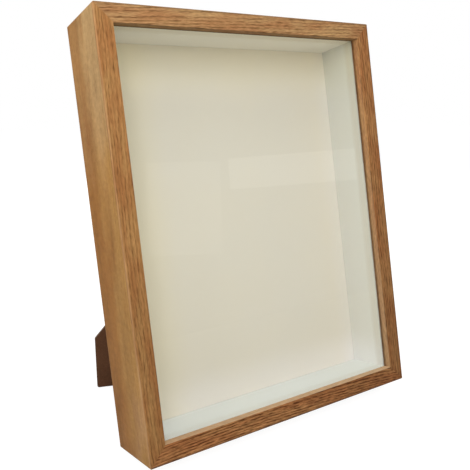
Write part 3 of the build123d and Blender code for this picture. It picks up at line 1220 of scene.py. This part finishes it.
@dataclass(frozen=True)
class PlatedSteel:
    """Plated steel with spangles, fine scratches and a little tarnish."""

    plate: Plate
    seed: float
    tone: float = 0.93
    spangle_tone: float = 0.14
    spangle_rough: float = 0.10
    scratch: Lumps = Lumps((0.009, 0.00014, 0.00014), 0, 2.0)
    crossed: Lumps = Lumps((0.00014, 0.00014, 0.009), 1, 2.0)
    scratch_tone: float = 0.16
    scratch_rough: float = 0.15
    scratch_height: float = 0.5
    scratch_depth: float = 0.00002
    scratch_strength: float = 0.5
    tarnish: Lumps = Lumps((0.004, 0.004, 0.004), 2, 3.0)
    tarnish_edge: Pair = (0.02, 0.30)
    tarnish_tint: Colour = (0.62, 0.62, 0.62)
    tarnish_share: float = 0.45
    tarnish_rough: float = 0.14

    def material(self, place: Matrix) -> bpy.types.Material:
        """Make the plated steel.

        Args:
            place: Where the case's own axes are, in the frame.

        Returns:
            The material.
        """
        plating = self.plate.value
        steel = Surface(f"{self.plate.name.lower()}_plate", self.seed)
        spot = steel.placed(place)
        cells = {"Vector": spot, "Scale": 1 / plating.spangle}
        spangles = steel.node("ShaderNodeTexVoronoi", cells, feature="F1")
        tint = steel.split(spangles.outputs["Color"])[0]
        scratch = steel.noise(spot, self.scratch)
        crossed = steel.noise(spot, self.crossed)
        tarnish = steel.noise(spot, self.tarnish).rise(*self.tarnish_edge)
        tarnished = tinted(plating.colour, self.tarnish_tint)
        colour = steel.mixed(tarnish * self.tarnish_share, plating.colour, tarnished)
        colour = steel.shaded(colour, self.tone + tint * self.spangle_tone + scratch * self.scratch_tone)
        height = 0.5 + scratch * self.scratch_height + crossed * self.scratch_height
        steel.relief(height, self.scratch_depth, self.scratch_strength)
        rough = plating.roughness + tint * self.spangle_rough + scratch * self.scratch_rough
        rough += tarnish * self.tarnish_rough
        return steel.finish(Base_Color=colour, Roughness=rough, Metallic=1.0)


# ---------------------------------------------------------------- fasteners


@dataclass(frozen=True)
class PanHeadScrew:
    """A pan head wood screw with a tapered cross recess."""

    head_radius: float = 0.0031
    head_height: float = 0.0017
    head_round: float = 0.0010
    shank_radius: float = 0.0016
    length: float = 0.012
    tip_length: float = 0.0024
    tip_radius: float = 0.0003
    recess_span: float = 0.0034
    recess_width: float = 0.0008
    recess_depth: float = 0.0010
    recess_taper: float = 0.35       # how much narrower the recess is at its bottom
    round_steps: int = 6
    segments: int = 40
    turn_seed: int = 5               # each screw is turned by chance

    def recipe(self) -> Recipe:
        """Make the tree of the screws, whose heads sit on their points.

        Returns:
            The tree.
        """
        tree = Recipe("pan_head_screws")
        head, height = tree.size("Head Radius", self.head_radius), tree.size("Head Height", self.head_height)
        edge = tree.size("Head Round", self.head_round)
        shank, length = tree.size("Shank Radius", self.shank_radius), tree.size("Length", self.length)
        tip = tree.size("Tip Length", self.tip_length)
        stations = [
            (0.0, length * -1.0),
            (self.tip_radius, length * -1.0),
            (shank, tip - length),
            (shank, 0.0),
            (head, 0.0),
        ]
        for step in range(self.round_steps + 1):
            angle = math.pi / 2 * step / self.round_steps
            stations.append((head - edge * (1 - math.cos(angle)), height - edge * (1 - math.sin(angle))))
        stations.append((0.0, height))
        body = tree.turned(stations, self.segments)
        cut = tree.node("GeometryNodeMeshBoolean", {"Mesh 1": body}, operation="DIFFERENCE", solver="EXACT")
        for sides in ((self.recess_span, self.recess_width), (self.recess_width, self.recess_span)):
            tree.feed(cut.inputs["Mesh 2"], self.wing(tree, sides, height))
        seed = tree.choice("Seed", "NodeSocketInt", self.turn_seed)
        chance = tree.node("FunctionNodeRandomValue", {"Seed": seed}, data_type="FLOAT")
        turn = Field(tree, chance.outputs[1]) * math.pi
        tree.stood(tree.smoothed(cut.outputs[0]), turn)
        return tree

    def wing(self, tree: Recipe, sides: Pair, height: Field) -> Socket:
        """Make one arm of the cross recess, narrower at its bottom, with its middle in the head's top.

        Args:
            tree: The tree of the screws.
            sides: The arm's length and width.
            height: The height of the head.

        Returns:
            The mesh that is cut out of the head.
        """
        block = tree.node("GeometryNodeMeshCube", {"Size": (*sides, 2 * self.recess_depth)})
        x, y, z = tree.split(tree.node("GeometryNodeInputPosition").outputs[0])
        taper = 1.0 + z / self.recess_depth * self.recess_taper
        place = tree.joined(x * taper, y * taper, z + height)
        cross = tree.node("GeometryNodeSetPosition", {"Geometry": block.outputs[0], "Position": place})
        return cross.outputs[0]


@dataclass(frozen=True)
class DomedRivet:
    """A rivet with a low domed head and a small step at its rim."""

    head_radius: float = 0.0027
    head_height: float = 0.0008
    rim: float = 0.00015
    shank_radius: float = 0.0015
    dome_steps: int = 7
    segments: int = 36

    def recipe(self, grip: float) -> Recipe:
        """Make the tree of the rivets, whose heads sit on their points.

        Args:
            grip: How far the shank reaches below the head.

        Returns:
            The tree.
        """
        tree = Recipe("domed_rivets")
        head, height = tree.size("Head Radius", self.head_radius), tree.size("Head Height", self.head_height)
        rim, shank = tree.size("Rim", self.rim), tree.size("Shank Radius", self.shank_radius)
        length = tree.size("Grip", grip)
        stations = [(0.0, length * -1.0), (shank, length * -1.0), (shank, 0.0), (head, 0.0), (head, rim)]
        for step in range(1, self.dome_steps):
            angle = math.pi / 2 * step / self.dome_steps
            stations.append((head * math.cos(angle), rim + (height - rim) * math.sin(angle)))
        stations.append((0.0, height))
        tree.stood(tree.smoothed(tree.turned(stations, self.segments)), 0.0)
        return tree


@dataclass(frozen=True)
class VNail:
    """A V nail with slightly curled ends, driven across a mitre."""

    leg: float = 0.0036
    gauge: float = 0.0006
    height: float = 0.0100
    spread: float = math.radians(50.0)
    curl: float = 0.0007
    curl_turn: float = 0.6           # radians
    bend: float = 0.0005
    bend_steps: int = 5
    sink: float = 0.00004

    def recipe(self) -> Recipe:
        """Make the tree of the nails, whose points lie at the V's corner in the back of the frame.

        Returns:
            The tree.
        """
        tree = Recipe("v_nails")
        gauge, height = tree.size("Gauge", self.gauge), tree.size("Height", self.height)
        line = self.outline()
        row = tree.node("GeometryNodeMeshLine", {"Count": len(line)}, mode="OFFSET")
        index = tree.node("GeometryNodeInputIndex").outputs[0]
        places = tree.node("GeometryNodeIndexSwitch", {"Index": index}, data_type="VECTOR")
        for _ in line[2:]:
            places.index_switch_items.new()
        for number, place in enumerate(line):
            tree.feed(places.inputs[number + 1], place)
        moved = {"Geometry": row.outputs[0], "Position": places.outputs[0]}
        bent = tree.node("GeometryNodeSetPosition", moved)
        path = tree.node("GeometryNodeMeshToCurve", {"Mesh": bent.outputs[0]})
        fillet = {0: path.outputs[0], 1: self.bend_steps, 2: self.bend}
        rounded = tree.node("GeometryNodeFilletCurve", fillet, mode="POLY")
        level = tree.node("GeometryNodeSetCurveNormal", {"Curve": rounded.outputs[0]}, mode="Z_UP")
        section = tree.node("GeometryNodeCurvePrimitiveQuadrilateral", {"Width": gauge, "Height": height})
        strip = tree.node(
            "GeometryNodeCurveToMesh",
            {"Curve": level.outputs[0], "Profile Curve": section.outputs[0], "Fill Caps": True},
        )
        drop = tree.joined(0.0, 0.0, height * -0.5 - self.sink)
        lowered = tree.node("GeometryNodeTransform", {"Geometry": strip.outputs[0], "Translation": drop})
        turn = tree.node("GeometryNodeInputNamedAttribute", {"Name": "turn"}, data_type="FLOAT")
        tree.stood(tree.smoothed(lowered.outputs[0]), turn.outputs[0])
        return tree

    def outline(self) -> list[Sizes]:
        """The nail's line, seen from its top: two legs with curled ends that meet in a corner.

        Returns:
            The five corners of the line.
        """
        line = [(0.0, 0.0, 0.0)]
        straight = self.leg - self.curl
        way = self.spread - self.curl_turn
        for sign in (1, -1):
            knee = (straight * math.cos(self.spread), sign * straight * math.sin(self.spread), 0.0)
            end = (knee[0] + self.curl * math.cos(way), knee[1] + sign * self.curl * math.sin(way), 0.0)
            line = [end, knee, *line] if sign > 0 else [*line, knee, end]
        return line


# ---------------------------------------------------------------- sub-assemblies


@dataclass
class OakFrame:
    """The four mitred members of the box."""

    stance: Stance
    first_seed: float = 11.0
    seed_step: float = 10.0
    # Each look paints light: the members lighter towards the top of the case and darker towards the bottom, each
    # lip lit or shaded by the way it faces, a rubbed edge with a painted highlight on the left stile and painted
    # shade on the outer edges of the others, and painted shade along the glass.
    looks: dict[str, BoardLook] = field(
        default_factory=lambda: {
            "rail_bottom": BoardLook(
                stain=(1.04, 0.94, 1.01),
                painted_light_tones=(0.725, 0.812),
                slopes=(-0.110, 0.050),
                contrast=2.65,
                arris=-0.7,
                lip=(0.95, 0.72),
                glass_shade=0.08,
            ),
            "rail_top": BoardLook(
                stain=(0.93, 1.03, 1.26),
                painted_light_tones=(1.070, 1.090),
                slopes=(0.070, 0.030),
                contrast=1.5,
                arris=-0.5,
                lip=(-0.57, -0.70),
                glass_shade=0.62,
            ),
            "stile_left": BoardLook(
                stain=(0.90, 0.89, 0.91),
                painted_light_tones=(0.785, 1.010),
                slopes=(0.02125, -0.03975),
                contrast=1.12,
                arris=0.5,
                lip=(0.10, 0.10),
                glass_shade=0.62,
            ),
            "stile_right": BoardLook(
                stain=(0.87, 0.80, 0.85),
                painted_light_tones=(1.075, 0.735),
                slopes=(0.006, 0.006),
                contrast=1.6,
                arris=-0.95,
                lip=(0.10, 0.30),
                glass_shade=0.60,
            ),
        }
    )

    def grain_places(self) -> dict[str, Matrix]:
        """Where each member's own axes are: along it, inwards, and back.

        Returns:
            A matrix in the frame for each member.
        """
        low = self.stance.box("stile_left")[0]
        high = self.stance.box("stile_right")[1]
        middle = (low.z + high.z) / 2
        ways = {
            "rail_bottom": ((0.0, low.y, low.z), (-1, 0, 0), (0, 0, 1)),
            "rail_top": ((0.0, low.y, high.z), (1, 0, 0), (0, 0, -1)),
            "stile_left": ((low.x, low.y, middle), (0, 0, 1), (1, 0, 0)),
            "stile_right": ((high.x, low.y, middle), (0, 0, -1), (-1, 0, 0)),
        }
        places = {}
        for name, (origin, along, inwards) in ways.items():
            turned = Matrix((Vector(along), Vector(inwards), Vector((0, 1, 0)))).transposed()
            places[name] = self.stance.place @ Matrix.Translation(origin) @ turned.to_4x4()
        return places

    def build(self) -> None:
        """Dress each member in oak of its own board."""
        low, high = self.stance.box("stile_left")
        glass_front = self.stance.box("glass_pane")[0].y
        wear_and_light = WearAndPaintedLight(lip_width=high.x - low.x, lip_depth=glass_front - low.y, depth=high.y - low.y)
        for number, (name, place) in enumerate(self.grain_places().items()):
            least, most = self.stance.box(name)
            length = max(most.x - least.x, most.z - least.z)
            seed = self.first_seed + self.seed_step * number
            dress(name, Oak(name, seed, length, self.looks[name], wear_and_light).material(place))


@dataclass
class Glazing:
    """The glass, the white spacers that hold it forward, and the board that the lures are pinned to.

    A pair of reaches says where a tint begins, and where it is complete.
    """

    stance: Stance
    # The four spacers are one white board; their colours by side are painted light: the bottom, which faces up,
    # lighter and cooler, and the top, which faces down, warmer.
    side_white: Colour = (0.708, 0.684, 0.622)
    top_white: Colour = (0.755, 0.695, 0.565)
    cool_white: Colour = (0.76, 0.775, 0.765)
    cream: Colour = (0.812, 0.730, 0.614)
    cream_blotch: float = 0.03
    # painted light: the glow that the white spacers bounce near the bottom, on the side spacers and the board
    bounce_light_reach: Pair = (0.033, 0.004)        # up from the bottom
    bounce_light_tint: Colour = (1.12, 1.135, 1.23)
    # a tint that makes the side spacers darker towards the top
    upward_darkening_reach: float = 0.09         # up from the bottom, and complete at the top
    upward_darkening_tint: Colour = (0.91, 0.92, 0.92)
    high_reach: Pair = (0.050, 0.010)       # down from the top
    high_tint: Colour = (1.0, 0.985, 0.89)
    cream_left: Pair = (-0.052, -0.088)     # across, from the middle of the case
    cream_left_tint: Colour = (0.985, 0.96, 0.85)
    # painted light: the glow that the right spacer bounces onto the board's right edge
    right_bounce_reach: Pair = (0.018, 0.002)      # in from the right
    right_bounce_tint: Colour = (1.01, 1.03, 1.09)
    # painted light: lighter and warmer where the top spacer shades the top of the board
    top_light_reach: float = 0.045         # down from the top, and complete there
    top_light_tint: Colour = (1.06, 1.035, 0.905)

    def build(self) -> None:
        """Dress the glass, the spacers and the display board."""
        dress("glass_pane", ClearGlass().material(self.stance.place))
        floor = self.stance.box("spacer_bottom")[1].z
        top = self.stance.box("spacer_top")[0].z
        right = self.stance.box("spacer_right")[0].x
        board_front = self.stance.box("display_board")[0].y
        # painted light: low is the glow that the white spacers bounce near the bottom
        low = Fade(Axis.UP, floor + self.bounce_light_reach[0], floor + self.bounce_light_reach[1], self.bounce_light_tint)
        darker_upwards = Fade(Axis.UP, floor + self.upward_darkening_reach, top, self.upward_darkening_tint)
        high = Fade(Axis.UP, top - self.high_reach[0], top - self.high_reach[1], self.high_tint)
        spacers = {
            "top": FacedBoard("white_spacer_top", 45.0, self.top_white),
            "right": FacedBoard("white_spacer_right", 41.0, self.side_white, (low, darker_upwards, high)),
            "left": FacedBoard("white_spacer_left", 42.0, self.side_white, (low, darker_upwards)),
            "bottom": FacedBoard("white_spacer_bottom", 43.0, self.cool_white),
        }
        for side, finish in spacers.items():
            dress(f"spacer_{side}", finish.material(self.stance.place, (Axis.BACK, board_front)))
        start, end = self.right_bounce_reach
        cream_fades = (
            low,
            Fade(Axis.ACROSS, *self.cream_left, self.cream_left_tint),
            Fade(Axis.ACROSS, right - start, right - end, self.right_bounce_tint),
            Fade(Axis.UP, top - self.top_light_reach, top, self.top_light_tint),
        )
        board = FacedBoard("cream_backing", 47.0, self.cream, cream_fades, blotch_tone=self.cream_blotch)
        dress("display_board", board.material(self.stance.place, (Axis.UP, floor)))


@dataclass
class BackPanel:
    """The panel that closes the case, and the turn buttons that hold it in."""

    stance: Stance
    zinc: bpy.types.Material
    places: tuple[str, ...] = ("left_upper", "left_lower", "right_upper", "right_lower", "top", "bottom")
    seed: float = 61.0

    def build(self) -> None:
        """Dress the panel and the buttons, and make their screws."""
        facing_back = self.stance.place @ Matrix.Rotation(math.radians(-90), 4, "X")
        dress("back_panel", Fibreboard("fibreboard_panel", self.seed).material(facing_back))
        for place in self.places:
            dress(f"turn_button_{place}", self.zinc)
        screw = PanHeadScrew()
        back = self.stance.direction(0, 1, 0)
        seats = []
        for corners in solids("turn_button_screws"):
            top = max(corner.dot(back) for corner in corners) - screw.head_height
            middle = sum(corners, Vector()) / len(corners)
            seats.append(Seat(middle + back * (top - middle.dot(back)), back))
        screws = screw.recipe().run("pan_head_screws", seats, self.zinc)
        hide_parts("turn_button_screws")
        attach(screws, "case")
        log.info("made %s: %d screws", screws.name, len(seats))


@dataclass
class MitreNails:
    """The V nails across the mitres."""

    stance: Stance
    zinc: bpy.types.Material

    def build(self) -> None:
        """Make the nails, each with its corner towards the outer corner of the frame."""
        back = self.stance.direction(0, 1, 0)
        upright = self.stance.place.inverted()
        nail = VNail()
        low, high = self.stance.box("corner_v_nails")
        seats = []
        for corners in solids("corner_v_nails"):
            local = [upright @ corner for corner in corners]
            middle = sum(local, Vector()) / len(local)
            side = middle - (low + high) / 2
            outward = Vector((math.copysign(1.0, side.x), 0.0, math.copysign(1.0, side.z))).normalized()
            tip = max(corner.dot(outward) for corner in local) - nail.gauge / 2 * math.sin(nail.spread)
            across = Vector((outward.z, 0.0, -outward.x))
            spot = outward * tip + across * middle.dot(across) + Vector((0.0, high.y, 0.0))
            seats.append(Seat(self.stance.place @ spot, back, math.atan2(outward.z, -outward.x)))
        nails = nail.recipe().run("v_nails", seats, self.zinc)
        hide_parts("corner_v_nails")
        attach(nails, "case")
        log.info("made %s: %d nails", nails.name, len(seats))


@dataclass
class EaselStrut:
    """The strut with its hinge."""

    stance: Stance
    nickel: bpy.types.Material
    seed: float = 67.0

    def build(self) -> None:
        """Dress the strut in fibreboard and its hinge in nickel."""
        normal = widest_normal("strut", self.stance.direction(0, 1, 0))
        joint = next(one for one in frame["joints"] if one["name"] == "strut_fold")
        pin = Vector(joint["axis"]).normalized()
        turned = Matrix((normal.cross(pin), pin, normal)).transposed().to_4x4()
        place = Matrix.Translation(Vector(joint["pos_m"])) @ turned
        dress("strut", Fibreboard("fibreboard_strut", self.seed).material(place))
        for part in ("hinge_panel_leaf", "hinge_strut_leaf", "hinge_pin"):
            dress(part, self.nickel)


@dataclass
class WallHangers:
    """The two ring hangers, for hanging the case upright or on its side."""

    nickel: bpy.types.Material
    ways: tuple[str, ...] = ("portrait", "landscape")

    def build(self) -> None:
        """Dress each strap and ring."""
        for way in self.ways:
            dress(f"hanger_strap_{way}", self.nickel)
            dress(f"hanger_ring_{way}", self.nickel)


@dataclass
class Rivets:
    """The rivets of the hinge and the hangers, one mesh for each body."""

    stance: Stance
    nickel: bpy.types.Material
    case_nodes: tuple[str, ...] = ("hinge_panel_rivets", "hanger_rivet_portrait", "hanger_rivet_landscape")
    strut_nodes: tuple[str, ...] = ("hinge_strut_rivets",)

    def build(self) -> None:
        """Make the rivets of the case and of the strut."""
        back = self.stance.direction(0, 1, 0)
        self.rivet_body("case", self.case_nodes, back)
        self.rivet_body("strut", self.strut_nodes, widest_normal("strut", back))

    def rivet_body(self, body: str, nodes: tuple[str, ...], axis: Vector) -> None:
        """Make the rivets of one body.

        Args:
            body: The body that they ride on.
            nodes: The CAD nodes that they stand for.
            axis: The way that their heads look.
        """
        rivet = DomedRivet()
        seats, grips = [], []
        for node in nodes:
            for corners in solids(node):
                heights = [corner.dot(axis) for corner in corners]
                middle = sum(corners, Vector()) / len(corners)
                seat = max(heights) - rivet.head_height
                seats.append(Seat(middle + axis * (seat - middle.dot(axis)), axis))
                grips.append(seat - min(heights))
        made = rivet.recipe(min(grips)).run(f"{body}_rivets", seats, self.nickel)
        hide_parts(*nodes)
        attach(made, body)
        log.info("made %s: %d rivets", made.name, len(seats))


# ---------------------------------------------------------------- studio


@dataclass(frozen=True)
class Lamp:
    """A soft lamp that looks at the case: it lights the case, or it only shows as a gleam in the glass."""

    name: str
    place: Sizes
    sides: Pair
    power: float                     # watts
    turn: float = 0.0                # about its own axis, in degrees
    gleam: bool = False

    def build(self, target: Vector) -> None:
        """Set up the lamp.

        Args:
            target: The point that it looks at.
        """
        light = bpy.data.lights.new(self.name, "AREA")
        light.shape = "RECTANGLE"
        light.size, light.size_y = self.sides
        light.energy = self.power
        lamp = bpy.data.objects.new(self.name, light)
        lamp.location = self.place
        lamp.rotation_mode = "QUATERNION"
        aim = (target - Vector(self.place)).to_track_quat("-Z", "Y")
        lamp.rotation_quaternion = aim @ Quaternion((0, 0, 1), math.radians(self.turn))
        lamp.visible_glossy = self.gleam
        lamp.visible_diffuse = not self.gleam
        bpy.context.scene.collection.objects.link(lamp)
        log.info("lit %s", self.name)


@dataclass
class Studio:
    """A white studio with soft lamps, and the camera."""

    camera_place: Sizes = (-0.25688, -0.38791, 0.24511)
    camera_turn: Sizes = (76.840, 0.034, -33.076)     # degrees
    camera_lens: float = 45.781                       # millimetres
    camera_film: float = 36.0                         # millimetres
    floor_side: float = 8.0
    floor_white: Colour = (0.86, 0.86, 0.85)
    floor_rough: float = 0.9
    floor_gloss: float = 0.1
    floor_glow: float = 1.18         # how bright the white is that the eye sees on the floor
    floor_glow_share: float = 0.8    # how much of it covers the lit floor, with its shadow
    mirrored: float = 0.4            # how much of the white shows in metal and in the glass
    ambient: Colour = (0.36, 0.36, 0.355)
    target: Sizes = (0.0, -0.01, 0.15)
    lamps: tuple[Lamp, ...] = (
        Lamp("key_lamp", (-0.30, -0.47, 0.53), (0.30, 0.30), 2.05),
        Lamp("side_lamp", (-0.90, -0.25, 0.50), (0.50, 0.50), 2.4),
        Lamp("top_lamp", (0.0, -0.15, 1.0), (0.50, 0.50), 2.3),
        Lamp("right_lamp", (1.2, 0.5, 0.8), (0.80, 0.80), 9.0),
        Lamp("back_lamp", (0.35, 1.3, 0.55), (0.80, 0.80), 10.0),
        Lamp("skylight", (0.965, -1.136, 0.491), (0.46, 0.10), 0.055, turn=-10.0, gleam=True),
        Lamp("window", (0.645, -1.362, 0.451), (0.24, 0.30), 0.045, turn=-10.0, gleam=True),
    )

    def build(self) -> None:
        """Set up the floor, the sky, the lamps, the camera and the view."""
        self.lay_floor()
        self.paint_sky()
        for lamp in self.lamps:
            lamp.build(Vector(self.target))
        self.place_camera()
        bpy.context.scene.view_settings.view_transform = "Standard"

    def lay_floor(self) -> None:
        """Lay a white floor that keeps a soft shadow of the case."""
        half = self.floor_side / 2
        mesh = bpy.data.meshes.new("floor")
        corners = [(-half, -half, 0), (half, -half, 0), (half, half, 0), (-half, half, 0)]
        mesh.from_pydata(corners, [], [(0, 1, 2, 3)])
        floor = bpy.data.objects.new("floor", mesh)
        bpy.context.scene.collection.objects.link(floor)
        white = Surface("studio_floor")
        white.finish(
            Base_Color=self.floor_white, Roughness=self.floor_rough, Specular_IOR_Level=self.floor_gloss
        )
        glow = white.node("ShaderNodeEmission", {"Color": WHITE, "Strength": self.floor_glow})
        share = self.seen(white) * self.floor_glow_share
        mix = white.node("ShaderNodeMixShader", {0: share, 1: white.shader.outputs[0], 2: glow.outputs[0]})
        white.feed(white.output.inputs["Surface"], mix.outputs[0])
        mesh.materials.append(white.material)
        log.info("laid %s", floor.name)

    def seen(self, tree: Tree) -> Field:
        """Tell the rays that see the background from those that it lights.

        Args:
            tree: The node tree of the floor or the sky.

        Returns:
            1 where it is seen straight or through glass, less where it is mirrored, 0 as a light.
        """
        ray = tree.node("ShaderNodeLightPath").outputs
        camera, through = Field(tree, ray["Is Camera Ray"]), Field(tree, ray["Is Transmission Ray"])
        mirrored = Field(tree, ray["Is Glossy Ray"]) * self.mirrored
        return tree.math("MAXIMUM", tree.math("MAXIMUM", camera, through), mirrored)

    def paint_sky(self) -> None:
        """Make the surroundings white to the eye, and softer as a light."""
        world = bpy.data.worlds.new("studio")
        bpy.context.scene.world = world
        world.use_nodes = True
        tree = Tree(world.node_tree)
        soft = tree.node("ShaderNodeBackground", {"Color": self.ambient, "Strength": 1.0})
        white = tree.node("ShaderNodeBackground", {"Color": WHITE, "Strength": 1.0})
        mix = tree.node("ShaderNodeMixShader", {0: self.seen(tree), 1: soft.outputs[0], 2: white.outputs[0]})
        tree.node("ShaderNodeOutputWorld", {"Surface": mix.outputs[0]})
        log.info("painted the surroundings")

    def place_camera(self) -> None:
        """Put the camera at the front left, a little above the case."""
        lens = bpy.data.cameras.new("camera")
        lens.lens = self.camera_lens
        lens.sensor_width = self.camera_film
        camera = bpy.data.objects.new("camera", lens)
        camera.location = self.camera_place
        camera.rotation_euler = [math.radians(angle) for angle in self.camera_turn]
        bpy.context.scene.collection.objects.link(camera)
        bpy.context.scene.camera = camera
        log.info("placed the camera")


def main() -> None:
    """Build every sub-assembly in order."""
    logging.basicConfig(level=logging.INFO, format="%(name)s: %(message)s")
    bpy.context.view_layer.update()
    stance = Stance.of_frame()
    zinc = PlatedSteel(Plate.ZINC, seed=71.0).material(stance.place)
    nickel = PlatedSteel(Plate.NICKEL, seed=77.0).material(stance.place)
    Studio().build()
    OakFrame(stance).build()
    MitreNails(stance, zinc).build()
    Glazing(stance).build()
    BackPanel(stance, zinc).build()
    EaselStrut(stance, nickel).build()
    WallHangers(nickel).build()
    Rivets(stance, nickel).build()


if __name__ == "__main__":
    main()
